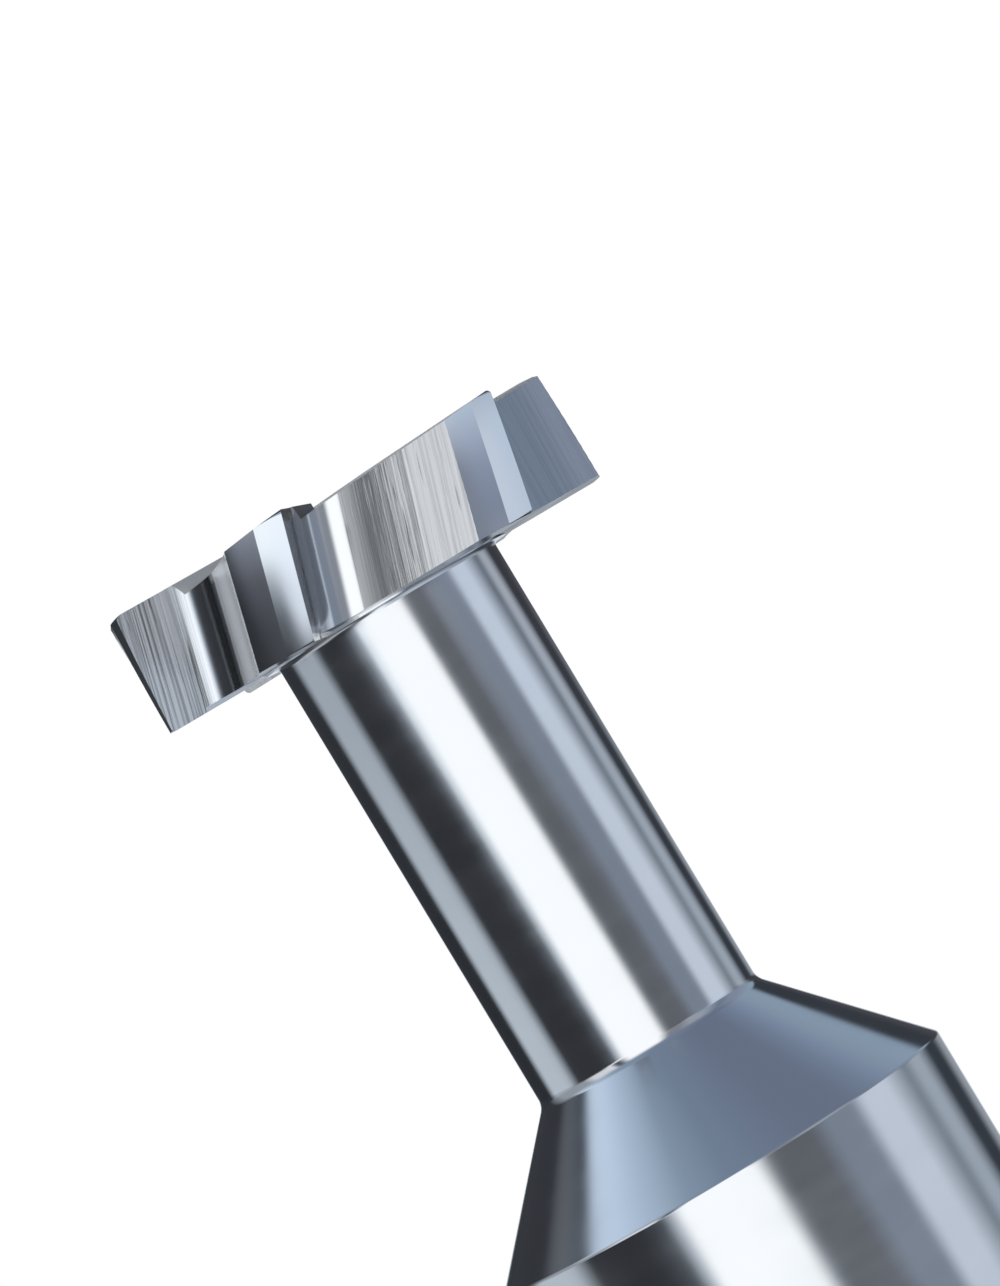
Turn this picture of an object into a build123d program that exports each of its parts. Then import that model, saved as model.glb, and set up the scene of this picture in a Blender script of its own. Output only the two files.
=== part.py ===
from build123d import *
import math
import os

# A solid carbide T-slot cutter, ground from one round blank: a straight shank, a shoulder cone,
# a slim neck and a disc-shaped head with helical teeth on its rim and on both its sides.
# Millimetres and degrees. The axis is Z, the shank's flat end lies on z = 0 and the head is on top.
# Azimuths are measured from -Y towards +X, which is the way the teeth cut.

# Body
overall_length = 60.0
shank_radius = 6.0
shank_end_chamfer = 0.5
shoulder_edge_radius = 0.12
shoulder_half_angle = 42.4
neck_radius = 2.975
neck_length = 12.1
neck_foot_fillet = 0.4
neck_head_fillet = 0.12

# Head
head_radius = 6.0
head_width = 3.0
head_core_radius = 3.3
tip_corner_radius = 0.18
back_corner_radius = 0.14
tip_recess_radius = 1.5
tip_recess_depth = 0.35

# Teeth on the rim
tooth_count = 6
first_tooth_azimuth = -8.5
helix_angle = 17.0
primary_relief = 5.6
primary_width = 0.78
secondary_relief = 15.3
secondary_width = 0.9

# Gullets, ground by one straight pass of a wheel whose path rises towards the neck
rake_angle = 1.0
gullet_radius = 1.0
tooth_back_angle = 71.6
gullet_rise = 0.2

# Teeth on the two sides of the head
tip_primary_relief = 4.5
tip_primary_width = 0.8
tip_secondary_relief = 5.3
tip_dish = 0.6
back_relief = 1.8

# Room that a cutting body needs past the stock it cuts
overrun = 2.0
# The lands are made this far past the rake face, and the gullet then cuts them to one sharp edge
edge_stock = 0.02
# How far a side tooth's relief stops in front of the rake face behind it
wall_clearance = 0.03

shoulder_length = (shank_radius - neck_radius) / math.tan(math.radians(shoulder_half_angle))
tip_z = overall_length
head_z = tip_z - head_width
neck_foot_z = head_z - neck_length
shank_top_z = neck_foot_z - shoulder_length
tooth_pitch = 360 / tooth_count
head_twist = math.degrees(head_width * math.tan(math.radians(helix_angle)) / head_radius)


def outward(azimuth):
    """The unit vector from the axis towards an azimuth."""
    return Vector(math.sin(math.radians(azimuth)), -math.cos(math.radians(azimuth)))


def onward(azimuth):
    """The unit vector along the rim at an azimuth, the way the teeth cut."""
    return Vector(math.cos(math.radians(azimuth)), math.sin(math.radians(azimuth)))


def full_turn_of(points, radii):
    """Revolve an outline given as (radius, height) points about the axis."""
    outline = FilletPolyline([(r, 0, z) for r, z in points], radius=radii, close=True)
    return revolve(make_face(outline), Axis.Z, 360)


def make_body():
    """Shank, shoulder cone and neck, turned in one outline up into the head's core."""
    embedded_z = head_z + head_width / 2
    corners = [
        ((0, 0), 0),
        ((shank_radius - shank_end_chamfer, 0), 0),
        ((shank_radius, shank_end_chamfer), 0),
        ((shank_radius, shank_top_z), shoulder_edge_radius),
        ((neck_radius, neck_foot_z), neck_foot_fillet),
        ((neck_radius, head_z), neck_head_fillet),
        ((head_core_radius, head_z), 0),
        ((head_core_radius, embedded_z), 0),
        ((0, embedded_z), 0),
    ]
    return full_turn_of([point for point, _ in corners], [radius for _, radius in corners])


def land_points(edge_azimuth):
    """The corners of one tooth's two relief lands at the tip: just in front of its edge, between
    the lands, at the heel of the second one, and past that heel, where the gullet cuts it away."""
    front_azimuth = edge_azimuth + math.degrees(edge_stock / head_radius)
    behind = -onward(front_azimuth)
    inward = -outward(front_azimuth)

    def along(relief):
        slope = math.radians(relief)
        return behind * math.cos(slope) + inward * math.sin(slope)

    front = outward(front_azimuth) * head_radius
    step = front + along(primary_relief) * (primary_width + edge_stock)
    heel = step + along(secondary_relief) * secondary_width
    past_heel = heel + along(secondary_relief) * gullet_radius
    return front, step, heel, past_heel


def make_blank():
    """The head before its gullets are cut: relieved lands that follow the helix, and rounded
    corners at the tip side and the neck side."""
    rim = []
    for tooth in range(tooth_count):
        front, step, _, past_heel = land_points(first_tooth_azimuth - tooth * tooth_pitch)
        rim += [front, step, past_heel]
    section = Pos(0, 0, head_z) * make_face(Polyline(rim, close=True)).rotate(Axis.Z, -head_twist)
    twisted = Solid.extrude_linear_with_rotation(
        section.face(), (0, 0, head_z), (0, 0, head_width), head_twist
    )
    stock_radius = head_radius + edge_stock
    envelope = full_turn_of(
        [(0, head_z), (stock_radius, head_z), (stock_radius, tip_z), (0, tip_z)],
        [0, back_corner_radius, tip_corner_radius, 0],
    )
    return twisted & envelope


def gullet_path():
    """What one millimetre towards the neck does to the first gullet's section."""
    middle = first_tooth_azimuth - head_twist / 2
    half = math.radians(head_twist / 2)
    edge_drift = -onward(middle) * (2 * head_radius * math.sin(half) / head_width)
    rise = outward(first_tooth_azimuth + rake_angle) * gullet_rise
    return edge_drift + rise + Vector(0, 0, -1)


def gullet_cutter():
    """The wheel's pass in front of the first tooth: flat rake face, round floor, and the flat back
    of the next tooth, which starts at that tooth's heel."""
    next_azimuth = first_tooth_azimuth + tooth_pitch
    edge = outward(first_tooth_azimuth) * head_radius
    rake = outward(first_tooth_azimuth + rake_angle)
    heel = land_points(next_azimuth)[2]
    slope = math.radians(tooth_back_angle)
    back = outward(next_azimuth) * math.sin(slope) + onward(next_azimuth) * math.cos(slope)
    cross = rake.X * back.Y - rake.Y * back.X
    gap = heel - edge
    to_corner = (gap.X * back.Y - gap.Y * back.X) / cross
    corner = edge + rake * to_corner
    profile = FilletPolyline(
        [edge + rake * overrun, corner, heel + back * overrun], radius=[0, gullet_radius, 0], close=True
    )
    path = gullet_path()
    start = profile.moved(Location(Vector(0, 0, tip_z) - path * overrun))
    return extrude(make_face(start), dir=path, amount=path.length * (head_width + 2 * overrun))


def ahead_of(point, direction):
    """The half of space that starts at a point and lies the way of a direction."""
    size = 4 * head_radius
    return Plane(origin=point, z_dir=direction) * Box(size, size, size, align=(Align.CENTER, Align.CENTER, Align.MIN))


def side_prism(edge_azimuth, profile, dish=0.0):
    """What a side tooth's relief removes from the first tooth: a prism along its cutting edge,
    which lies in the rake face and falls by the dish angle towards the axis, with a profile of
    (distance behind the edge, height) points."""
    rake_azimuth = first_tooth_azimuth + rake_angle
    rake = outward(rake_azimuth)
    slope = Vector(0, 0, math.tan(math.radians(dish)))
    inner_end = (outward(edge_azimuth) - rake - slope) * head_radius
    plane = Plane(origin=inner_end, x_dir=onward(rake_azimuth), z_dir=rake)
    outline = Polyline([(-behind, height) for behind, height in profile], close=True)
    edge = rake + slope
    return extrude(plane * make_face(outline), dir=edge, amount=edge.length * (head_radius + overrun))


def wall_before(edge_azimuth, height, facing):
    """The space in front of the rake face of the tooth behind the first one, given that tooth's
    edge and the way that its wall faces."""
    edge = outward(edge_azimuth - tooth_pitch) * head_radius + Vector(0, 0, height)
    facing = facing.rotate(Axis.Z, -tooth_pitch).normalized()
    return ahead_of(edge + facing * wall_clearance, facing)


def tip_side_cutter():
    """Relief of the first tooth's end edge in two steps, back to the upright gash wall under the
    end edge of the tooth behind it. It also lowers the top of this tooth's own gash wall."""
    reach = head_radius + overrun
    step_z = tip_z - tip_primary_width * math.tan(math.radians(tip_primary_relief))
    floor_drop = (reach - tip_primary_width) * math.tan(math.radians(tip_secondary_relief))
    front = -(wall_clearance + edge_stock)
    profile = [
        (front, tip_z),
        (0, tip_z),
        (tip_primary_width, step_z),
        (reach, step_z - floor_drop),
        (reach, tip_z + overrun),
        (front, tip_z + overrun),
    ]
    gash = wall_before(first_tooth_azimuth, tip_z, onward(first_tooth_azimuth + rake_angle))
    return side_prism(first_tooth_azimuth, profile, tip_dish) & gash


def back_side_cutter():
    """Relief of the first tooth's edge on the neck side, back to the rake face of the tooth
    behind it and out from the core that carries the neck."""
    edge_azimuth = first_tooth_azimuth - head_twist
    reach = head_radius + overrun
    profile = [
        (0, head_z),
        (reach, head_z + reach * math.tan(math.radians(back_relief))),
        (reach, head_z - overrun),
        (0, head_z - overrun),
    ]
    rake_face = outward(first_tooth_azimuth + rake_angle).cross(gullet_path())
    wall = wall_before(edge_azimuth, head_z, rake_face)
    core = Pos(0, 0, head_z) * Cylinder(head_core_radius, head_width)
    return (side_prism(edge_azimuth, profile) & wall) - core


def make_head():
    """The toothed disc: every cutter is made for the first tooth and repeated round the axis."""
    cutters = [gullet_cutter(), tip_side_cutter(), back_side_cutter()]
    head = make_blank()
    for tooth in range(tooth_count):
        head -= [cutter.rotate(Axis.Z, tooth * tooth_pitch) for cutter in cutters]
    recess = Pos(0, 0, tip_z) * Cylinder(tip_recess_radius, 2 * tip_recess_depth)
    return head - recess


def make_cutter():
    return make_body() + make_head()


os.makedirs("parts", exist_ok=True)
export_step(make_cutter(), "parts/t_slot_cutter.step")
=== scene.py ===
import math

import bpy
from mathutils import Matrix, Vector


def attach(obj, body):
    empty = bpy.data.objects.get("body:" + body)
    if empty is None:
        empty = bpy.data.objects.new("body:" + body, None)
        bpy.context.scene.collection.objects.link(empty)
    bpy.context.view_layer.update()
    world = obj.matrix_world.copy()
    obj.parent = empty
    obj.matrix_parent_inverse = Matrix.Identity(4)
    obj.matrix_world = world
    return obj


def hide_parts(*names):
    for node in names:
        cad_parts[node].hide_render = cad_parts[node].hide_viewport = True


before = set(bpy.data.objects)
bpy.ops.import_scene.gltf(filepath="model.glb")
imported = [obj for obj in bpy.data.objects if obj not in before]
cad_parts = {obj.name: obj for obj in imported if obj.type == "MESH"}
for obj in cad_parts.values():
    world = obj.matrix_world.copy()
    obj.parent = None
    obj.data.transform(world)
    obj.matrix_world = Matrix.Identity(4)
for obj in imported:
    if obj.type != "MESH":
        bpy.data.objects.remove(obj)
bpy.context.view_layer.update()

# A solid carbide T-slot cutter on a pale floor, seen from the photograph's angle. The cutter is
# modelled in millimetres, turned and ground in the order that the real one is, and its mesh is
# brought to metres at the end. Azimuths are in degrees from -Y towards +X, the way the teeth cut.
NODE = "t_slot_cutter"
MM = 0.001

# Body, in millimetres
tip_z = 60.0
shank_radius = 6.0
shank_end_chamfer = 0.5
shoulder_edge_radius = 0.12
shoulder_half_angle = 42.4
neck_radius = 2.975
neck_length = 12.1
neck_foot_fillet = 0.4
neck_head_fillet = 0.12

# Head, in millimetres
head_radius = 6.0
head_width = 3.0
head_core_radius = 3.3
tip_corner_radius = 0.18
back_corner_radius = 0.14
tip_recess_radius = 1.5
tip_recess_depth = 0.35

# Teeth, in millimetres and degrees
tooth_count = 6
first_tooth_azimuth = -8.5
helix_angle = 17.0
primary_relief = 5.6
primary_width = 0.78
secondary_relief = 15.3
secondary_width = 0.9
rake_angle = 1.0
gullet_radius = 1.0
tooth_back_angle = 71.6
gullet_rise = 0.2
back_hollow = 13.0
tip_primary_relief = 4.5
tip_primary_width = 0.8
tip_secondary_relief = 5.3
tip_dish = 0.6
back_relief = 1.8

# Room that a cutting body needs past the stock it cuts, in millimetres
overrun = 2.0
# The lands are made this far past the rake face, and the gullet then cuts them to one sharp edge
edge_stock = 0.02
# How far a side tooth's relief stops in front of the rake face behind it
wall_clearance = 0.03

# How finely the round forms are divided
turned_steps = 288
fillet_steps = 8
corner_steps = 12
twist_steps = 12
floor_steps = 28
back_steps = 10

# Millimetres within which two heights or radii count as the same, and corners are merged
same_place = 0.001
merge_distance = 0.0005
# Degrees up to which neighbouring faces count as one flat face, and up to which they look smooth
flat_angle = 0.02
smooth_angle = 8

# What the wheel left in each gullet, and the shade painted into it, from the one before the first
# tooth on, each on the rake face's side and on the back's: how deep its lines are, how matte the
# metal is after the wheel had been dressed, and how dark the painted shade is at the foot
wheel_states_and_shade = [
    ((0.1, 0.8), (0.12, 0.03), (0.12, 0.0)),
    ((0.3, 0.25), (0.0, 0.0), (0.0, 0.0)),
    ((0.5, 0.5), (0.1, 0.1), (0.1, 0.3)),
    ((0.3, 0.8), (0.05, 0.05), (0.2, 0.0)),
    ((0.6, 0.35), (0.1, 0.1), (0.0, 0.4)),
    ((1.8, 0.05), (0.2, 0.74), (0.0, 0.92)),
]
# The wheel's round rim grinds the floor finer than its flat side. By how many degrees the face has
# turned from the rake face where that face's lines fade out, and where the back's lines and its
# matte finish fade in
rake_fade = (18, 34)
back_fade = (94, 104)
matte_fade = (74, 90)
# The same degrees for the painted shade at the rake face's foot and at the back's: where it fades in and
# out
rake_painted_shade = ((14, 22), (38, 50))
back_painted_shade = ((58, 70), (90, 102))

shoulder_length = (shank_radius - neck_radius) / math.tan(math.radians(shoulder_half_angle))
head_z = tip_z - head_width
neck_foot_z = head_z - neck_length
shank_top_z = neck_foot_z - shoulder_length
tooth_pitch = 360 / tooth_count
head_twist = math.degrees(head_width * math.tan(math.radians(helix_angle)) / head_radius)


def outward(azimuth):
    """The unit vector from the axis towards an azimuth."""
    return Vector((math.sin(math.radians(azimuth)), -math.cos(math.radians(azimuth)), 0))


def onward(azimuth):
    """The unit vector along the rim at an azimuth, the way the teeth cut."""
    return Vector((math.cos(math.radians(azimuth)), math.sin(math.radians(azimuth)), 0))


def about_axis(vector, angle):
    """A vector turned about the cutter's axis, onwards, by an angle in degrees."""
    return Matrix.Rotation(math.radians(angle), 3, "Z") @ vector


# Ways of modelling by hand


def select_only(piece):
    """Selects one piece and makes it the active one."""
    bpy.ops.object.select_all(action="DESELECT")
    piece.select_set(True)
    bpy.context.view_layer.objects.active = piece


def edit(piece, mode="FACE"):
    """Goes into edit mode on one piece, with nothing selected."""
    if bpy.context.object:
        bpy.ops.object.mode_set(mode="OBJECT")
    select_only(piece)
    bpy.ops.object.mode_set(mode="EDIT")
    bpy.ops.mesh.select_mode(type=mode)
    bpy.ops.mesh.select_all(action="DESELECT")


def done():
    """Leaves edit mode."""
    bpy.ops.object.mode_set(mode="OBJECT")


def flat_outline(name, corners):
    """A flat face whose corners are pulled to their places."""
    bpy.ops.object.select_all(action="DESELECT")
    bpy.ops.mesh.primitive_circle_add(vertices=len(corners), radius=1, fill_type="NGON")
    piece = bpy.context.object
    piece.name = name
    for vertex, corner in zip(piece.data.vertices, corners):
        vertex.co = corner
    return piece


def face_outwards(piece):
    """Turns all the faces of a solid outwards."""
    edit(piece)
    bpy.ops.mesh.select_all(action="SELECT")
    bpy.ops.mesh.normals_make_consistent(inside=False)
    done()


def drawn_out(name, corners, path):
    """A flat outline extruded along a path into a closed solid."""
    piece = flat_outline(name, corners)
    edit(piece)
    bpy.ops.mesh.select_all(action="SELECT")
    bpy.ops.mesh.extrude_region_move(TRANSFORM_OT_translate={"value": path})
    done()
    face_outwards(piece)
    return piece


def keep_ahead_of(piece, point, direction):
    """Cuts a solid with a plane, keeps what lies the way of the direction and closes the cut."""
    edit(piece)
    bpy.ops.mesh.select_all(action="SELECT")
    bpy.ops.mesh.bisect(plane_co=point, plane_no=direction, use_fill=True, clear_inner=True)
    done()
    face_outwards(piece)


def round_edges(piece, wanted, offset, steps):
    """Bevels the edges whose two ends pass a test."""
    edit(piece, "EDGE")
    done()
    mesh = piece.data
    for line in mesh.edges:
        line.select = all(wanted(mesh.vertices[index].co) for index in line.vertices)
    bpy.ops.object.mode_set(mode="EDIT")
    bpy.ops.mesh.bevel(offset=offset, segments=steps, profile=0.5)
    done()


def combine(piece, tool, operation):
    """A Boolean with a second solid, which is used up."""
    change = piece.modifiers.new(operation.lower(), "BOOLEAN")
    change.operation = operation
    change.solver = "EXACT"
    change.material_mode = "TRANSFER"
    change.object = tool
    select_only(piece)
    bpy.ops.object.modifier_apply(modifier=change.name)
    bpy.data.objects.remove(tool)


def cut_round(piece, tool):
    """Cuts with one tool at every tooth: the tool is modelled once and copied round the axis."""
    for tooth in range(tooth_count):
        copy = tool.copy()
        copy.data = tool.data.copy()
        copy.data.transform(Matrix.Rotation(math.radians(tooth * tooth_pitch), 4, "Z"))
        bpy.context.collection.objects.link(copy)
        combine(piece, copy, "DIFFERENCE")
    bpy.data.objects.remove(tool)


# The cutter


def turned_body(finish):
    """Shank, shoulder cone and neck: a disc drawn up ring by ring, with its ring corners rounded."""
    start_radius = shank_radius - shank_end_chamfer
    embedded_z = head_z + head_width / 2
    rings = [
        (shank_radius, shank_end_chamfer),
        (shank_radius, shank_top_z),
        (neck_radius, neck_foot_z),
        (neck_radius, head_z),
        (head_core_radius, head_z),
        (head_core_radius, embedded_z),
    ]
    bpy.ops.object.select_all(action="DESELECT")
    bpy.ops.mesh.primitive_circle_add(vertices=turned_steps, radius=start_radius, fill_type="NGON")
    body = bpy.context.object
    body.name = NODE + "_body"
    body.data.materials.append(finish)
    edit(body)
    bpy.ops.mesh.select_all(action="SELECT")
    radius, height = start_radius, 0
    for next_radius, next_height in rings:
        rise = (0, 0, next_height - height)
        bpy.ops.mesh.extrude_region_move(TRANSFORM_OT_translate={"value": rise})
        spread = next_radius / radius
        bpy.ops.transform.resize(value=(spread, spread, 1), center_override=(0, 0, next_height))
        radius, height = next_radius, next_height
    done()
    face_outwards(body)

    def on_ring(ring_radius, ring_height):
        return lambda point: (
            abs(point.z - ring_height) < same_place
            and abs(math.hypot(point.x, point.y) - ring_radius) < same_place
        )

    half_turn = math.tan(math.radians(shoulder_half_angle / 2))
    round_edges(body, on_ring(neck_radius, head_z), neck_head_fillet, fillet_steps)
    round_edges(body, on_ring(neck_radius, neck_foot_z), neck_foot_fillet * half_turn, fillet_steps)
    round_edges(body, on_ring(shank_radius, shank_top_z), shoulder_edge_radius * half_turn, fillet_steps)
    return body


def land_corners(edge_azimuth):
    """The corners of one tooth's two relief lands at the tip: just in front of its edge, between
    the lands, at the heel of the second one, and past that heel, where the gullet cuts it away."""
    front_azimuth = edge_azimuth + math.degrees(edge_stock / head_radius)

    def along(relief):
        slope = math.radians(relief)
        return -onward(front_azimuth) * math.cos(slope) - outward(front_azimuth) * math.sin(slope)

    front = outward(front_azimuth) * head_radius
    step = front + along(primary_relief) * (primary_width + edge_stock)
    heel = step + along(secondary_relief) * secondary_width
    past_heel = heel + along(secondary_relief) * gullet_radius
    return front, step, heel, past_heel


def head_blank(finish):
    """The disc before its gullets are ground: an outline of relieved lands, drawn up in short
    steps that each turn it a little, within an envelope that rounds the corners."""
    corners = []
    for tooth in range(tooth_count):
        front, step, _, past_heel = land_corners(first_tooth_azimuth - tooth * tooth_pitch)
        corners += [front, step, past_heel]
    corners = [about_axis(corner, -head_twist) + Vector((0, 0, head_z)) for corner in corners]
    blank = flat_outline(NODE, corners)
    blank.data.materials.append(finish)
    edit(blank)
    bpy.ops.mesh.select_all(action="SELECT")
    # With no window, transform.rotate turns clockwise for a positive angle
    turn = -math.radians(head_twist / twist_steps)
    rise = (0, 0, head_width / twist_steps)
    for _ in range(twist_steps):
        bpy.ops.mesh.extrude_region_move(TRANSFORM_OT_translate={"value": rise})
        bpy.ops.transform.rotate(value=turn, orient_axis="Z", center_override=(0, 0, 0))
    bpy.ops.mesh.select_all(action="SELECT")
    bpy.ops.mesh.quads_convert_to_tris()
    done()
    face_outwards(blank)

    bpy.ops.object.select_all(action="DESELECT")
    bpy.ops.mesh.primitive_cylinder_add(
        vertices=turned_steps,
        radius=head_radius + edge_stock,
        depth=head_width,
        location=(0, 0, head_z + head_width / 2),
    )
    envelope = bpy.context.object
    bpy.ops.object.transform_apply()
    envelope.data.materials.append(finish)

    def at_height(height):
        return lambda point: abs(point.z - height) < same_place

    round_edges(envelope, at_height(tip_z), tip_corner_radius, corner_steps)
    round_edges(envelope, at_height(head_z), back_corner_radius, corner_steps)
    combine(blank, envelope, "INTERSECT")
    return blank


def gullet_path():
    """What one millimetre towards the neck does to the first gullet's section."""
    middle = first_tooth_azimuth - head_twist / 2
    half = math.radians(head_twist / 2)
    edge_drift = -onward(middle) * (2 * head_radius * math.sin(half) / head_width)
    rise = outward(first_tooth_azimuth + rake_angle) * gullet_rise
    return edge_drift + rise + Vector((0, 0, -1))


def gullet_wheel(finish):
    """The grinding wheel's straight pass in front of the first tooth: a flat rake face, a round
    floor, and the back of the next tooth up to its heel, which the wheel's worn side leaves very
    slightly hollow: its slope turns by the angle back_hollow on the way."""
    next_azimuth = first_tooth_azimuth + tooth_pitch
    edge = outward(first_tooth_azimuth) * head_radius
    rake = outward(first_tooth_azimuth + rake_angle)
    heel = land_corners(next_azimuth)[2]
    slope = math.radians(tooth_back_angle)
    back = outward(next_azimuth) * math.sin(slope) + onward(next_azimuth) * math.cos(slope)
    cross = rake.x * back.y - rake.y * back.x
    gap = heel - edge
    corner = edge + rake * ((gap.x * back.y - gap.y * back.x) / cross)
    # The floor's arc touches the rake face and a straight back: its centre halves their angle
    opening = rake.angle(back)
    centre = corner + (rake + back).normalized() * (gullet_radius / math.sin(opening / 2))
    tangent_length = gullet_radius / math.tan(opening / 2)
    first_spoke = corner + rake * tangent_length - centre
    sweep = math.degrees(math.pi - opening) - back_hollow / 2
    floor = [
        centre + about_axis(first_spoke, -sweep * step / floor_steps)
        for step in range(floor_steps + 1)
    ]
    # The hollow back is a wide arc that goes on from the floor's end in its direction to the heel
    foot = floor[-1]
    inwards = (centre - foot).normalized()
    chord = heel - foot
    half_turn = math.pi / 2 - chord.angle(inwards)
    spoke = inwards * (-chord.length / 2 / math.sin(half_turn))
    turn = math.degrees(2 * half_turn)
    hollow = [
        foot - spoke + about_axis(spoke, -turn * step / back_steps)
        for step in range(1, back_steps + 1)
    ]
    way_out = (hollow[-1] - hollow[-2]).normalized()
    outline = [edge + rake * overrun, *floor, *hollow, hollow[-1] + way_out * overrun]
    path = gullet_path()
    start = Vector((0, 0, tip_z)) - path * overrun
    corners = [point + start for point in outline]
    wheel = drawn_out("gullet_wheel", corners, path * (head_width + 2 * overrun))
    wheel.data.materials.append(finish)
    return wheel


def side_wheel(name, finish, edge_azimuth, profile, wall_point, wall_facing, dish=0.0):
    """What a side tooth's relief takes off the first tooth: a prism along its cutting edge, which
    falls by the dish angle towards the axis, with a profile of (distance behind the edge, height)
    points, up to a wall before the tooth behind."""
    rake_azimuth = first_tooth_azimuth + rake_angle
    rake = outward(rake_azimuth)
    slope = Vector((0, 0, math.tan(math.radians(dish))))
    inner_end = (outward(edge_azimuth) - rake - slope) * head_radius
    corners = [
        inner_end - onward(rake_azimuth) * behind + Vector((0, 0, height))
        for behind, height in profile
    ]
    wheel = drawn_out(name, corners, (rake + slope) * (head_radius + overrun))
    facing = about_axis(wall_facing, -tooth_pitch).normalized()
    keep_ahead_of(wheel, wall_point + facing * wall_clearance, facing)
    wheel.data.materials.append(finish)
    return wheel


def tip_side_wheel(finish):
    """The two-step relief of the first tooth's end edge, up to an upright gash wall."""
    reach = head_radius + overrun
    step_z = tip_z - tip_primary_width * math.tan(math.radians(tip_primary_relief))
    floor_drop = (reach - tip_primary_width) * math.tan(math.radians(tip_secondary_relief))
    front = -(wall_clearance + edge_stock)
    profile = [
        (front, tip_z),
        (0, tip_z),
        (tip_primary_width, step_z),
        (reach, step_z - floor_drop),
        (reach, tip_z + overrun),
        (front, tip_z + overrun),
    ]
    edge_behind = outward(first_tooth_azimuth - tooth_pitch) * head_radius + Vector((0, 0, tip_z))
    upright = onward(first_tooth_azimuth + rake_angle)
    return side_wheel(
        "tip_side_wheel", finish, first_tooth_azimuth, profile, edge_behind, upright, tip_dish
    )


def back_side_wheel(finish):
    """The relief of the first tooth's edge on the neck side, up to the rake face behind it."""
    reach = head_radius + overrun
    profile = [
        (0, head_z),
        (reach, head_z + reach * math.tan(math.radians(back_relief))),
        (reach, head_z - overrun),
        (0, head_z - overrun),
    ]
    edge_azimuth = first_tooth_azimuth - head_twist
    edge_behind = outward(edge_azimuth - tooth_pitch) * head_radius + Vector((0, 0, head_z))
    rake_face = outward(first_tooth_azimuth + rake_angle).cross(gullet_path())
    return side_wheel("back_side_wheel", finish, edge_azimuth, profile, edge_behind, rake_face)


def recess_wheel(finish):
    """The plain round recess in the middle of the tip."""
    bpy.ops.object.select_all(action="DESELECT")
    bpy.ops.mesh.primitive_cylinder_add(
        vertices=turned_steps // 2,
        radius=tip_recess_radius,
        depth=2 * tip_recess_depth,
        location=(0, 0, tip_z),
    )
    wheel = bpy.context.object
    bpy.ops.object.transform_apply()
    wheel.data.materials.append(finish)
    return wheel


def fade(value, start, end):
    """A smooth rise from 0 to 1 between two values."""
    share = min(max((value - start) / (end - start), 0), 1)
    return share * share * (3 - 2 * share)


def store_wheel_marks(mesh, gullet_slot):
    """Gives every corner of a gullet's faces its place in the first gullet's section and how far
    along the wheel's straight pass it lies, so that the lines follow the pass, what the wheel left
    there: the depth of its lines and how matte it is, and how dark the painted shade there is."""
    path = gullet_path()
    rake_facing = first_tooth_azimuth + rake_angle + 90
    # A rake face lies right at its gullet's border, and the room behind a heel is wide
    border_shift = 0.1
    # Moves each gullet to its own part of the noise, in millimetres
    noise_step = 10
    mesh.attributes.new("pass_place", "FLOAT_VECTOR", "CORNER")
    mesh.attributes.new("wheel_marks_and_shade", "FLOAT_VECTOR", "CORNER")
    places = mesh.attributes["pass_place"]
    marks = mesh.attributes["wheel_marks_and_shade"]
    for face in mesh.polygons:
        if face.material_index != gullet_slot:
            continue
        depth = tip_z - face.center.z
        azimuth = math.degrees(math.atan2(face.center.x, -face.center.y)) - first_tooth_azimuth
        azimuth += head_twist * depth / head_width
        gullet = math.floor(azimuth / tooth_pitch + border_shift)
        normal = about_axis(face.normal, -gullet * tooth_pitch)
        turned = rake_facing - math.degrees(math.atan2(normal.x, -normal.y))
        on_rake = 1 - fade(turned, *rake_fade)
        on_back = fade(turned, *back_fade)
        lines, matte, painted_shade = wheel_states_and_shade[gullet % tooth_count]
        # Painted shade: how strongly the rake face's foot and the back's foot are darkened
        at_rake_foot, at_back_foot = (
            fade(turned, *rise) * (1 - fade(turned, *fall)) for rise, fall in (rake_painted_shade, back_painted_shade)
        )
        # The lines' depth, the matte share, and the painted shade at the foot
        left = (
            lines[0] * on_rake + lines[1] * on_back,
            matte[0] * on_rake + matte[1] * fade(turned, *matte_fade),
            painted_shade[0] * at_rake_foot + painted_shade[1] * at_back_foot,
        )
        for corner in face.loop_indices:
            point = mesh.vertices[mesh.loops[corner].vertex_index].co
            depth = tip_z - point.z
            section = about_axis(point, -gullet * tooth_pitch) - path * depth
            places.data[corner].vector = (section.x, section.y + noise_step * gullet, depth)
            marks.data[corner].vector = left


def smooth_lands(piece, land_slot):
    """Gives the lands the exact normals of their helical surfaces, so that their flat triangles
    don't show as bands in what they mirror. A land's section faces one azimuth at the tip, and
    turns back with the head's twist towards the neck."""
    mesh = piece.data
    normals = [corner.vector.copy() for corner in mesh.corner_normals]
    stock_turn = math.degrees(edge_stock / head_radius)
    facings = [
        first_tooth_azimuth + stock_turn - relief + tooth * tooth_pitch
        for tooth in range(tooth_count) for relief in (primary_relief, secondary_relief)
    ]
    twist_rate = head_twist / head_width
    # What of the land's material leans more than this towards the axis is a rounded corner
    most_lean = 0.12

    def at_tip(vector, height):
        return about_axis(vector, twist_rate * (tip_z - height))

    for face in mesh.polygons:
        if face.material_index != land_slot or abs(face.normal.z) > most_lean:
            continue
        normal = at_tip(face.normal, face.center.z / MM)
        facing = max(facings, key=lambda azimuth: outward(azimuth).dot(normal))
        for corner in face.loop_indices:
            point = mesh.vertices[mesh.loops[corner].vertex_index].co / MM
            place = at_tip(point, point.z)
            across = Vector((-place.y, place.x, 0))
            lean = -math.radians(twist_rate) * across.dot(outward(facing))
            true_normal = outward(facing) + Vector((0, 0, lean))
            normals[corner] = about_axis(true_normal, -twist_rate * (tip_z - point.z)).normalized()
    mesh.normals_split_custom_set(normals)


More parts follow.
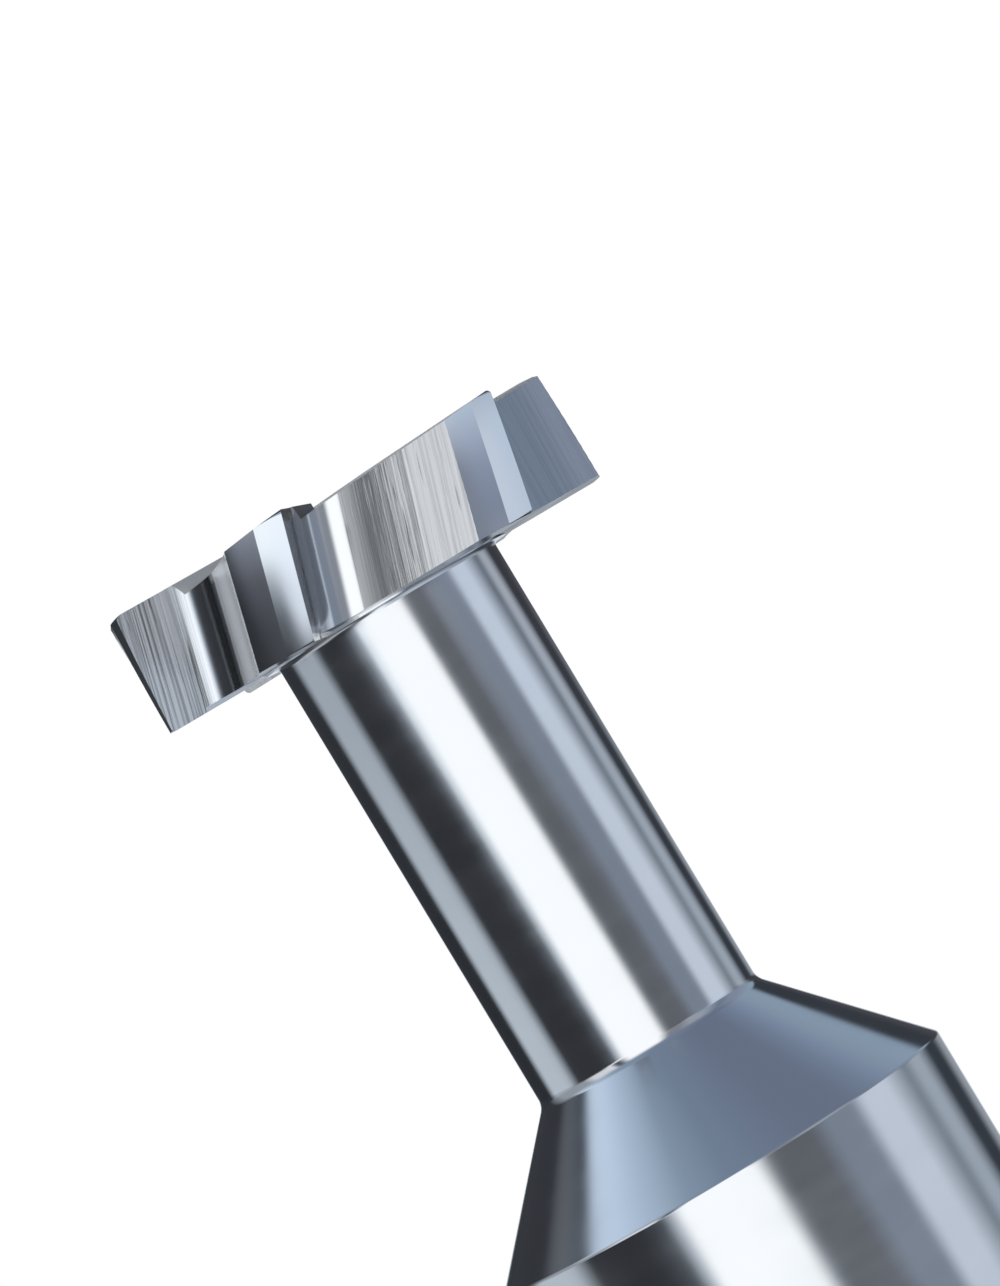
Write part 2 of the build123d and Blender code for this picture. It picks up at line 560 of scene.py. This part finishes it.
def make_cutter(turned, land, gullet, tip_side, neck_side):
    """The whole tool: blank, recess, gullets, side teeth and turned body, with clean flat faces."""
    cutter = head_blank(land)
    combine(cutter, recess_wheel(neck_side), "DIFFERENCE")
    cut_round(cutter, gullet_wheel(gullet))
    cut_round(cutter, tip_side_wheel(tip_side))
    cut_round(cutter, back_side_wheel(neck_side))
    combine(cutter, turned_body(turned), "UNION")
    edit(cutter, "VERT")
    bpy.ops.mesh.select_all(action="SELECT")
    bpy.ops.mesh.remove_doubles(threshold=merge_distance)
    bpy.ops.mesh.dissolve_limited(angle_limit=math.radians(flat_angle), delimit={"MATERIAL"})
    done()
    return cutter


def linear(code):
    """A six-digit sRGB hex colour as linear RGBA."""
    channels = [int(code[i:i + 2], 16) / 255 for i in (1, 3, 5)]
    return [c / 12.92 if c <= 0.04045 else ((c + 0.055) / 1.055) ** 2.4 for c in channels] + [1]


def node(tree, kind, settings=None, inputs=None):
    """Adds a node with its settings, and its inputs as values or as links from other sockets."""
    made = tree.nodes.new(kind)
    for name, value in (settings or {}).items():
        setattr(made, name, value)
    for key, value in (inputs or {}).items():
        if isinstance(value, bpy.types.NodeSocket):
            tree.links.new(value, made.inputs[key])
        else:
            made.inputs[key].default_value = value
    return made


def maths(tree, operation, first, second):
    """What a math node makes of two values."""
    return node(tree, "ShaderNodeMath", {"operation": operation}, {0: first, 1: second}).outputs[0]


def rescaled(tree, value, start, end, low, high):
    """A value brought from one range to another, and kept within it."""
    return node(tree, "ShaderNodeMapRange", {}, {
        "Value": value, "From Min": start, "From Max": end, "To Min": low, "To Max": high}).outputs[0]


def mixed(tree, share, first, second):
    """The colour between two others."""
    mix = node(tree, "ShaderNodeMix", {"data_type": "RGBA"}, {"Factor": share, "A": first, "B": second})
    return mix.outputs["Result"]


def new_material(name):
    """An empty material and its node tree."""
    material = bpy.data.materials.new(name)
    material.use_nodes = True
    material.node_tree.nodes.clear()
    return material, material.node_tree


def carbide_shader(tree, roughness, inputs=None):
    """Cemented carbide's bright grey metal, which every finish of it starts from."""
    values = {"Base Color": linear("#bfc0c3"), "Metallic": 1.0, "Roughness": roughness}
    values.update(inputs or {})
    shader = node(tree, "ShaderNodeBsdfPrincipled", {}, values)
    node(tree, "ShaderNodeOutputMaterial", {}, {"Surface": shader.outputs[0]})
    return shader


def stretched_noise(tree, place, spacing, detail=2.0, seed=0.0):
    """Noise whose features are so many units apart along each axis of the place it is given."""
    scale = [1 / distance for distance in spacing]
    mapping = node(tree, "ShaderNodeMapping", {}, {
        "Vector": place, "Scale": scale, "Location": (seed, seed, seed)})
    noise = node(tree, "ShaderNodeTexNoise", {}, {
        "Vector": mapping.outputs[0], "Scale": 1.0, "Detail": detail, "Roughness": 0.6})
    return noise.outputs["Fac"]


def cylindrical_ground():
    """Shank, cone and neck, ground while the blank turns: a near mirror, whose fine lines run
    round it and blur what it shows along the axis more than across it."""
    material, tree = new_material("cylindrical_ground_carbide")
    place = node(tree, "ShaderNodeTexCoord").outputs["Object"]
    # Lines 0.03 mm apart, coarser than the real ones, which are too fine to show
    lines = stretched_noise(tree, place, (4 * MM, 4 * MM, 0.03 * MM), detail=3.0)
    bump = node(tree, "ShaderNodeBump", {}, {"Strength": 0.5, "Distance": 0.00015 * MM, "Height": lines})
    patches = stretched_noise(tree, place, (3 * MM, 3 * MM, 0.8 * MM))
    roughness = rescaled(tree, patches, 0.3, 0.7, 0.11, 0.15)
    round_it = node(tree, "ShaderNodeTangent", {"direction_type": "RADIAL", "axis": "Z"})
    carbide_shader(tree, roughness, {
        "Normal": bump.outputs[0],
        "Anisotropic": 0.35,
        "Anisotropic Rotation": 0.25,
        "Tangent": round_it.outputs[0],
    })
    return material


def polish_ground():
    """The relief lands behind the cutting edges, ground with the finest wheel: flat clean mirrors
    with a trace of haze."""
    material, tree = new_material("polish_ground_carbide")
    place = node(tree, "ShaderNodeTexCoord").outputs["Object"]
    haze = stretched_noise(tree, place, (0.6 * MM, 0.6 * MM, 2 * MM))
    carbide_shader(tree, rescaled(tree, haze, 0.3, 0.7, 0.08, 0.12))
    return material


def wheel_ground():
    """Rake faces, gullet floors and tooth backs, ground in one straight pass of a coarser wheel:
    lines that run along the pass in clumps, and scratches that run only part of the way. The wheel
    loads up from one gullet to the next and is then dressed, so some gullets have deeper and
    darker lines, and the first one after dressing is matte. Painted shade darkens the gullets' feet."""
    material, tree = new_material("wheel_ground_carbide")
    place = node(tree, "ShaderNodeAttribute", {"attribute_name": "pass_place"}).outputs["Vector"]
    left = node(tree, "ShaderNodeAttribute", {"attribute_name": "wheel_marks_and_shade"}).outputs["Vector"]
    left = node(tree, "ShaderNodeSeparateXYZ", {}, {0: left})
    line_depth, matte, painted_shade = (left.outputs[axis] for axis in "XYZ")
    # Spacings in millimetres across and along the pass, coarser than the real ones, to show
    broad = stretched_noise(tree, place, (0.3, 0.3, 12.0), detail=1.0)
    fine = stretched_noise(tree, place, (0.06, 0.06, 6.0), detail=3.0, seed=7.0)
    scratches = stretched_noise(tree, place, (0.1, 0.1, 2.5), detail=2.0, seed=19.0)
    clumps = stretched_noise(tree, place, (0.5, 0.5, 15.0), detail=1.0, seed=31.0)
    lines = rescaled(tree, fine, 0.42, 0.78, 0.0, rescaled(tree, clumps, 0.42, 0.6, 0.5, 1.1))
    cuts = rescaled(tree, scratches, 0.6, 0.7, 0.0, 0.8)
    marks = maths(tree, "MAXIMUM", lines, cuts)
    height = maths(tree, "MULTIPLY", maths(tree, "SUBTRACT", broad, marks), line_depth)
    bump = node(tree, "ShaderNodeBump", {}, {"Strength": 1.0, "Distance": 0.003 * MM, "Height": height})
    dark = node(tree, "ShaderNodeMath", {"operation": "MULTIPLY", "use_clamp": True}, {
        0: marks, 1: line_depth})
    lined = mixed(tree, dark.outputs[0], linear("#c3c4c7"), linear("#6c6d6c"))
    # The base colour goes towards near black #24272b where painted shade darkens the gullets' feet
    carbide_shader(tree, rescaled(tree, broad, 0.3, 0.7, 0.11, 0.17), {
        "Base Color": mixed(tree, painted_shade, lined, linear("#24272b")),
        "Metallic": maths(tree, "SUBTRACT", 1.0, matte),
        "Normal": bump.outputs[0],
    })
    return material


def even_lines(tree):
    """The fine even lines of a cup wheel, as a normal."""
    place = node(tree, "ShaderNodeTexCoord").outputs["Object"]
    lines = stretched_noise(tree, place, (0.05 * MM, 1.2 * MM, 1.2 * MM), detail=2.0)
    bump = node(tree, "ShaderNodeBump", {}, {"Strength": 0.6, "Distance": 0.001 * MM, "Height": lines})
    return bump.outputs[0]


def side_ground():
    """The neck side's reliefs and the recess: a plain even grind, duller than the lands."""
    material, tree = new_material("side_ground_carbide")
    place = node(tree, "ShaderNodeTexCoord").outputs["Object"]
    patches = stretched_noise(tree, place, (1.5 * MM, 1.5 * MM, 1.5 * MM))
    roughness = rescaled(tree, patches, 0.3, 0.7, 0.21, 0.28)
    carbide_shader(tree, roughness, {"Normal": even_lines(tree)})
    return material


def heat_tinted_ground():
    """The end teeth's reliefs and gashes, where the wheel ran hot: the same even grind with a
    thin straw-coloured skin in places."""
    material, tree = new_material("heat_tinted_ground_carbide")
    place = node(tree, "ShaderNodeTexCoord").outputs["Object"]
    heat = stretched_noise(tree, place, (1.2 * MM, 1.2 * MM, 0.6 * MM), detail=1.0)
    tint = rescaled(tree, heat, 0.45, 0.7, 0.0, 1.0)
    colour = mixed(tree, tint, linear("#c0c0c0"), linear("#c4b59c"))
    carbide_shader(tree, 0.25, {"Base Color": colour, "Normal": even_lines(tree)})
    return material


# Studio, in metres and degrees. Cards stand all round the tool, unseen by the camera, and show in
# its polished metal. Each reaches from one azimuth to another, seen from the tool, with 0 towards
# the camera, and has the colour that it gives the metal. What lies between two cards is their soft
# shared edge. The six rows stand one above the other.
card_distance = 0.6
card_light = 1.85
floor_cards = [
    (-180, -120, "#3a3d42"),
    (-100, -80, "#a6aaad"),
    (-62, -52, "#34373b"),
    (-43, -43, "#5c6167"),
    (-36, -36, "#a2a9b2"),
    (-30, -30, "#d2dae3"),
    (-24, -5, "#f5fafe"),
    (-2, -2, "#dde5ec"),
    (10, 10, "#acb4bd"),
    (30, 65, "#acb5bf"),
    (90, 120, "#8b95a1"),
    (140, 180, "#3a3d42"),
]
low_cards = [
    (-180, -172, "#a9b0b8"),
    (-166, -127, "#282b2f"),
    (-117, -97, "#b3bcc4"),
    (-90, -90, "#aab3bb"),
    (-79, -48, "#2d2f33"),
    (-41, -41, "#363a3f"),
    (-36, -36, "#3e444a"),
    (-31, -31, "#a8b0b8"),
    (-26, 12, "#fcffff"),
    (19, 19, "#71777d"),
    (23, 42, "#585b60"),
    (52, 67, "#747e8b"),
    (74, 90, "#c0c9d4"),
    (106, 108, "#757f89"),
    (115, 122, "#98a2ad"),
    (134, 146, "#30353c"),
    (157, 166, "#7c8188"),
    (172, 180, "#a9b0b8"),
]
level_cards = [
    (-180, -176, "#dbe2e9"),
    (-171, -127, "#2c2f32"),
    (-115, -90, "#959ea6"),
    (-79, -47, "#2b2d30"),
    (-42, -42, "#464b51"),
    (-37, -37, "#929aa2"),
    (-33, -33, "#f2fbff"),
    (-22, 12, "#fcffff"),
    (18, 18, "#696f76"),
    (24, 34, "#595d62"),
    (42, 66, "#7a828e"),
    (73, 87, "#c1ccd9"),
    (106, 109, "#646b76"),
    (116, 122, "#a0a7b0"),
    (134, 171, "#34353a"),
    (176, 180, "#dbe2e9"),
]
upper_cards = [
    (-180, -176, "#dbe2e9"),
    (-171, -127, "#2c2f32"),
    (-117, -92, "#a0a9b1"),
    (-75, -62, "#3e4146"),
    (-55, -55, "#53565e"),
    (-48, -48, "#848b95"),
    (-43, -43, "#dce5ee"),
    (-33, -33, "#ecf5fe"),
    (-22, 9, "#fcffff"),
    (22, 34, "#82878f"),
    (43, 43, "#a4a8ad"),
    (59, 59, "#7b8699"),
    (65, 65, "#8892a6"),
    (74, 89, "#b7c5d5"),
    (106, 109, "#717a85"),
    (120, 125, "#8b95a1"),
    (140, 171, "#393a3f"),
    (176, 180, "#dbe2e9"),
]
high_cards = [
    (-180, -135, "#303237"),
    (-113, -75, "#8f959b"),
    (-65, -48, "#d0d2d4"),
    (-43, -43, "#e0e2e3"),
    (-38, -33, "#3c3f42"),
    (-24, 9, "#fcffff"),
    (20, 32, "#7b7f86"),
    (46, 60, "#949ba3"),
    (74, 74, "#7f889a"),
    (81, 84, "#6a7888"),
    (100, 110, "#7e8799"),
    (135, 143, "#8394a5"),
    (147, 180, "#2f3238"),
]
ceiling_cards = [
    (-180, -128, "#393c42"),
    (-124, -113, "#3c4148"),
    (-107, -104, "#bfcfe0"),
    (-97, -97, "#bccee0"),
    (-83, -83, "#a8bacc"),
    (-67, -67, "#97a8ba"),
    (-50, -45, "#7f90a2"),
    (0, 20, "#6f7e91"),
    (80, 104, "#667083"),
    (126, 126, "#798a9f"),
    (137, 142, "#8a9bac"),
    (148, 180, "#42464e"),
]
# The elevations between which each row takes over from the one below it
row_starts = [
    (low_cards, -14, -7.5),
    (level_cards, -3, 1.8),
    (upper_cards, 2, 4),
    (high_cards, 7, 12),
    (ceiling_cards, 30, 48),
]

# The photograph's camera, in millimetres: its distance, how far it stands beside the axis, how far
# below the tip it aims and how far below that it stands. Its roll makes the tool lean to the left.
camera_lens = 189.2
camera_sensor = 36
camera_distance = 160.8
camera_aside = 1.85
camera_aim_depth = 5.155
camera_drop = 1.96
camera_roll = 31.07

# The floor's paper, which fades to white for the camera from one distance to another, in metres
floor_radius = 1.5
paper_colour = "#f2f2f2"
paper_fade = (0.08, 0.3)

# The room's even light, and a softbox up on the left, in metres and watts
room_light = 0.6
lamp_size = 0.3
lamp_watts = 2.2
lamp_colour = "#e2eaf4"
lamp_place = (-0.33, -0.05, 0.35)


def ramp_of(tree, factor, row):
    """A colour ramp over azimuth with one stop at each side of every card."""
    ramp = node(tree, "ShaderNodeValToRGB", {}, {"Fac": factor})
    stops = [(azimuth, colour) for start, end, colour in row for azimuth in sorted({start, end})]
    while len(ramp.color_ramp.elements) < len(stops):
        ramp.color_ramp.elements.new(1.0)
    for element, (azimuth, _) in zip(ramp.color_ramp.elements, stops):
        element.position = (azimuth + 180) / 360
    for element, (_, colour) in zip(ramp.color_ramp.elements, stops):
        element.color = linear(colour)
    return ramp


def studio_cards():
    """A wide glowing sphere round the head, whose colour comes from the rows of cards."""
    bpy.ops.object.select_all(action="DESELECT")
    bpy.ops.mesh.primitive_uv_sphere_add(segments=96, ring_count=48, radius=card_distance)
    ring = bpy.context.object
    ring.name = "studio_cards"
    material, tree = new_material("studio_cards")
    place = node(tree, "ShaderNodeTexCoord")
    parts = node(tree, "ShaderNodeSeparateXYZ", {}, {0: place.outputs["Object"]})
    azimuth = maths(tree, "ARCTAN2", parts.outputs["X"], maths(tree, "MULTIPLY", parts.outputs["Y"], -1.0))
    share = rescaled(tree, azimuth, -math.pi, math.pi, 0.0, 1.0)
    colour = ramp_of(tree, share, floor_cards).outputs[0]
    for row, low, high in row_starts:
        rise = node(tree, "ShaderNodeMapRange", {"interpolation_type": "SMOOTHSTEP"}, {
            "Value": parts.outputs["Z"],
            "From Min": card_distance * math.sin(math.radians(low)),
            "From Max": card_distance * math.sin(math.radians(high)),
        })
        colour = mixed(tree, rise.outputs[0], colour, ramp_of(tree, share, row).outputs[0])
    light = node(tree, "ShaderNodeEmission", {}, {"Color": colour, "Strength": card_light})
    node(tree, "ShaderNodeOutputMaterial", {}, {"Surface": light.outputs[0]})
    ring.data.materials.append(material)
    ring.location = (0, 0, head_z * MM)
    ring.visible_camera = False
    ring.visible_diffuse = False
    ring.visible_shadow = False


def add_camera():
    """The photograph's view: level with the neck, rolled so that the tool leans to the left."""
    data = bpy.data.cameras.new("camera")
    data.lens = camera_lens
    data.sensor_width = camera_sensor
    camera = bpy.data.objects.new("camera", data)
    bpy.context.collection.objects.link(camera)
    aim_z = tip_z - camera_aim_depth
    aim = Vector((camera_aside, 0, aim_z)) * MM
    eye = Vector((camera_aside, -camera_distance, aim_z - camera_drop)) * MM
    back = (eye - aim).normalized()
    right = Vector((0, 0, 1)).cross(back).normalized()
    upright = Matrix((right, back.cross(right), back)).transposed()
    rolled = upright @ Matrix.Rotation(math.radians(-camera_roll), 3, "Z")
    camera.matrix_world = Matrix.Translation(eye) @ rolled.to_4x4()
    bpy.context.scene.camera = camera


def add_world():
    """White for the camera and in mirrors, and dimmer as a light."""
    world = bpy.data.worlds.new("studio")
    bpy.context.scene.world = world
    world.use_nodes = True
    tree = world.node_tree
    tree.nodes.clear()
    ray = node(tree, "ShaderNodeLightPath").outputs
    mirrored = maths(tree, "MAXIMUM", ray["Is Glossy Ray"], ray["Is Transmission Ray"])
    seen = maths(tree, "MAXIMUM", ray["Is Camera Ray"], mirrored)
    plain = node(tree, "ShaderNodeBackground", {}, {"Color": linear("#ffffff"), "Strength": room_light})
    white = node(tree, "ShaderNodeBackground", {}, {"Color": linear("#ffffff"), "Strength": 1.0})
    mix = node(tree, "ShaderNodeMixShader", {}, {0: seen, 1: plain.outputs[0], 2: white.outputs[0]})
    node(tree, "ShaderNodeOutputWorld", {}, {"Surface": mix.outputs[0]})


def add_floor():
    """A wide sheet of pale paper, which keeps the tool's shadow and fades to white around it."""
    bpy.ops.object.select_all(action="DESELECT")
    bpy.ops.mesh.primitive_circle_add(vertices=128, radius=floor_radius, fill_type="NGON")
    floor = bpy.context.object
    floor.name = "floor"
    material, tree = new_material("pale_floor")
    place = node(tree, "ShaderNodeTexCoord")
    distance = node(tree, "ShaderNodeVectorMath", {"operation": "LENGTH"}, {0: place.outputs["Object"]})
    away = node(tree, "ShaderNodeMapRange", {"interpolation_type": "SMOOTHSTEP"}, {
        "Value": distance.outputs["Value"], "From Min": paper_fade[0], "From Max": paper_fade[1]})
    ray = node(tree, "ShaderNodeLightPath").outputs
    share = maths(tree, "MULTIPLY", away.outputs[0], ray["Is Camera Ray"])
    paper = node(tree, "ShaderNodeBsdfDiffuse", {}, {"Color": linear(paper_colour)})
    white = node(tree, "ShaderNodeEmission", {}, {"Color": linear("#ffffff"), "Strength": 1.0})
    mix = node(tree, "ShaderNodeMixShader", {}, {0: share, 1: paper.outputs[0], 2: white.outputs[0]})
    node(tree, "ShaderNodeOutputMaterial", {}, {"Surface": mix.outputs[0]})
    floor.data.materials.append(material)
    floor.visible_glossy = False


def add_lamp():
    """A softbox that points at the foot of the tool and doesn't show in its metal."""
    data = bpy.data.lights.new("overhead_softbox", "AREA")
    data.shape = "SQUARE"
    data.size = lamp_size
    data.energy = lamp_watts
    data.color = linear(lamp_colour)[:3]
    lamp = bpy.data.objects.new("overhead_softbox", data)
    bpy.context.collection.objects.link(lamp)
    lamp.location = lamp_place
    lamp.rotation_euler = (-lamp.location).to_track_quat("-Z", "Y").to_euler()
    lamp.visible_glossy = False


def slot_of(piece, material):
    """The number of a material's slot on a piece."""
    return [slot.name for slot in piece.data.materials].index(material.name)


turned = cylindrical_ground()
land = polish_ground()
gullet = wheel_ground()
tip_side = heat_tinted_ground()
neck_side = side_ground()

cutter = make_cutter(turned, land, gullet, tip_side, neck_side)
cutter.name = "ground_cutter"
store_wheel_marks(cutter.data, slot_of(cutter, gullet))
cutter.data.transform(Matrix.Scale(MM, 4))
select_only(cutter)
bpy.ops.object.shade_smooth_by_angle(angle=math.radians(smooth_angle))
change = cutter.modifiers.new("flats", "WEIGHTED_NORMAL")
change.keep_sharp = True
bpy.ops.object.modifier_apply(modifier=change.name)
smooth_lands(cutter, slot_of(cutter, land))
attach(cutter, "root")
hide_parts(NODE)

bpy.context.scene.view_settings.view_transform = "Standard"
add_world()
add_floor()
add_lamp()
studio_cards()
add_camera()
